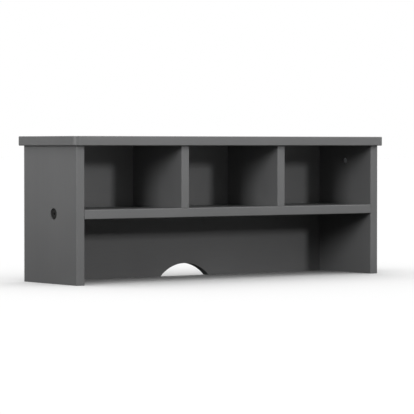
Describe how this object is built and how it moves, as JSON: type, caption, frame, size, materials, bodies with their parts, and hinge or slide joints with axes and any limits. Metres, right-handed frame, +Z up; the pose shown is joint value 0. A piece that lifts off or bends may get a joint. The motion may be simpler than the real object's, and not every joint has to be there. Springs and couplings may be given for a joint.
{
  "type": "desk hutch",
  "caption": "Low painted shelf unit for the rear of a desk: a row of open cubbies over a full-width open bay, an overhanging top and an arched cable notch in the back.",
  "frame": {"origin": "bottom centre of the bounding box, on the desk surface", "axes": "+X to the right along the width, -Y out of the open front, +Z up"},
  "size_m": [0.67, 0.175, 0.247],
  "materials": {
    "grey_paint": "satin dark grey paint on wood boards",
    "black_steel": "black oxide steel, satin",
    "zinc_steel": "bright zinc plate",
    "dowel_wood": "bare fluted beech"
  },
  "bodies": {
    "root": {"top_panel": "grey_paint", "left_side_panel": "grey_paint", "right_side_panel": "grey_paint", "shelf": "grey_paint", "left_divider": "grey_paint", "right_divider": "grey_paint", "back_panel": "grey_paint", "left_top_bolt": "black_steel", "right_top_bolt": "black_steel", "left_top_barrel_nut": "zinc_steel", "right_top_barrel_nut": "zinc_steel", "left_shelf_bolt": "black_steel", "right_shelf_bolt": "black_steel", "left_shelf_barrel_nut": "zinc_steel", "right_shelf_barrel_nut": "zinc_steel", "top_to_side_dowels": "dowel_wood", "shelf_to_side_dowels": "dowel_wood", "top_to_divider_dowels": "dowel_wood", "shelf_to_divider_dowels": "dowel_wood", "back_to_side_dowels": "dowel_wood", "top_to_back_dowels": "dowel_wood", "back_to_shelf_screws": "black_steel", "back_to_divider_screws": "black_steel", "desk_fixing_inserts": "zinc_steel"}
  },
  "joints": []
}
